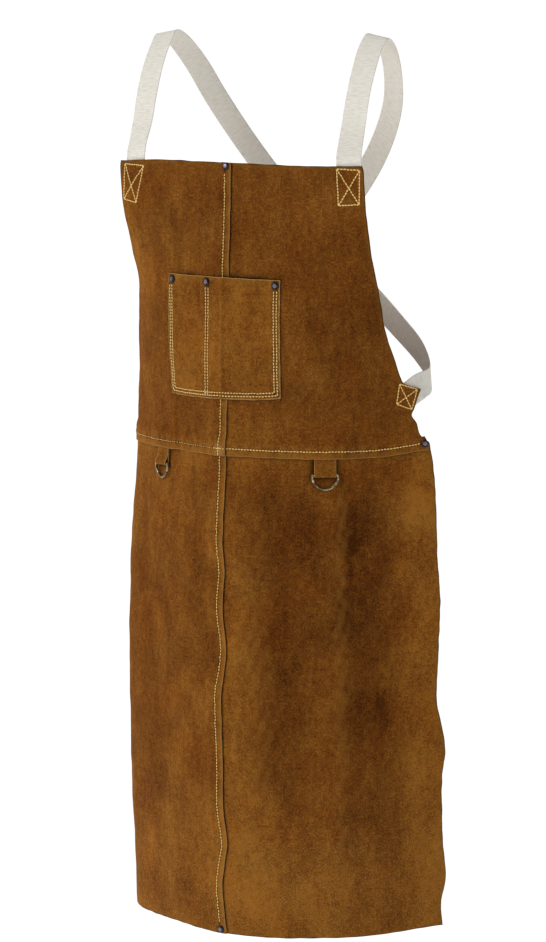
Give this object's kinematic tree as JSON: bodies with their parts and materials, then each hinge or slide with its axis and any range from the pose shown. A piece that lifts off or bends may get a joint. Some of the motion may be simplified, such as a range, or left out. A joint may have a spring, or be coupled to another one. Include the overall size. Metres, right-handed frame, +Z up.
{
  "type": "leather welding apron",
  "caption": "Suede bib apron as it hangs when worn: lapped bib and skirt halves, riveted patch pocket with a pen slot, cotton webbing shoulder straps and D-rings on leather tabs at the waist",
  "frame": {"origin": "midway between the two straps where they cross the shoulders, at the height of the straps' undersides", "axes": "+Z up, the front faces -Y, +X is the wearer's left"},
  "size_m": [0.5067, 0.2844, 1.2536],
  "materials": {
    "suede": "brown split leather with a short nap, mottled",
    "webbing": "cream cotton webbing with fine cross ribs",
    "aged_brass": "tarnished bent wire",
    "dark_rivet": "dark oxidised cap"
  },
  "bodies": {
    "apron": {"bib_right": "suede", "bib_left": "suede", "skirt_right": "suede", "skirt_left": "suede", "pocket": "suede", "strap_right": "webbing", "strap_left": "webbing", "ring_tab_right": "suede", "ring_tab_left": "suede", "rivet_bib_top": "dark_rivet", "rivet_pocket_right": "dark_rivet", "rivet_pocket_divider": "dark_rivet", "rivet_pocket_left": "dark_rivet", "rivet_waist_right": "dark_rivet", "rivet_waist_left": "dark_rivet", "rivet_hem": "dark_rivet"},
    "ring_right": {"d_ring_right": "aged_brass"},
    "ring_left": {"d_ring_left": "aged_brass"}
  },
  "joints": [
    {"name": "ring_right_swing", "type": "hinge", "parent": "apron", "child": "ring_right", "pos_m": [-0.12188, -0.08986, -0.59744], "axis": [-0.8572, 0.5149, 0], "range_deg": [0, 150]},
    {"name": "ring_left_swing", "type": "hinge", "parent": "apron", "child": "ring_left", "pos_m": [0.13896, -0.07898, -0.60134], "axis": [-0.8395, -0.5434, 0], "range_deg": [0, 150]}
  ]
}
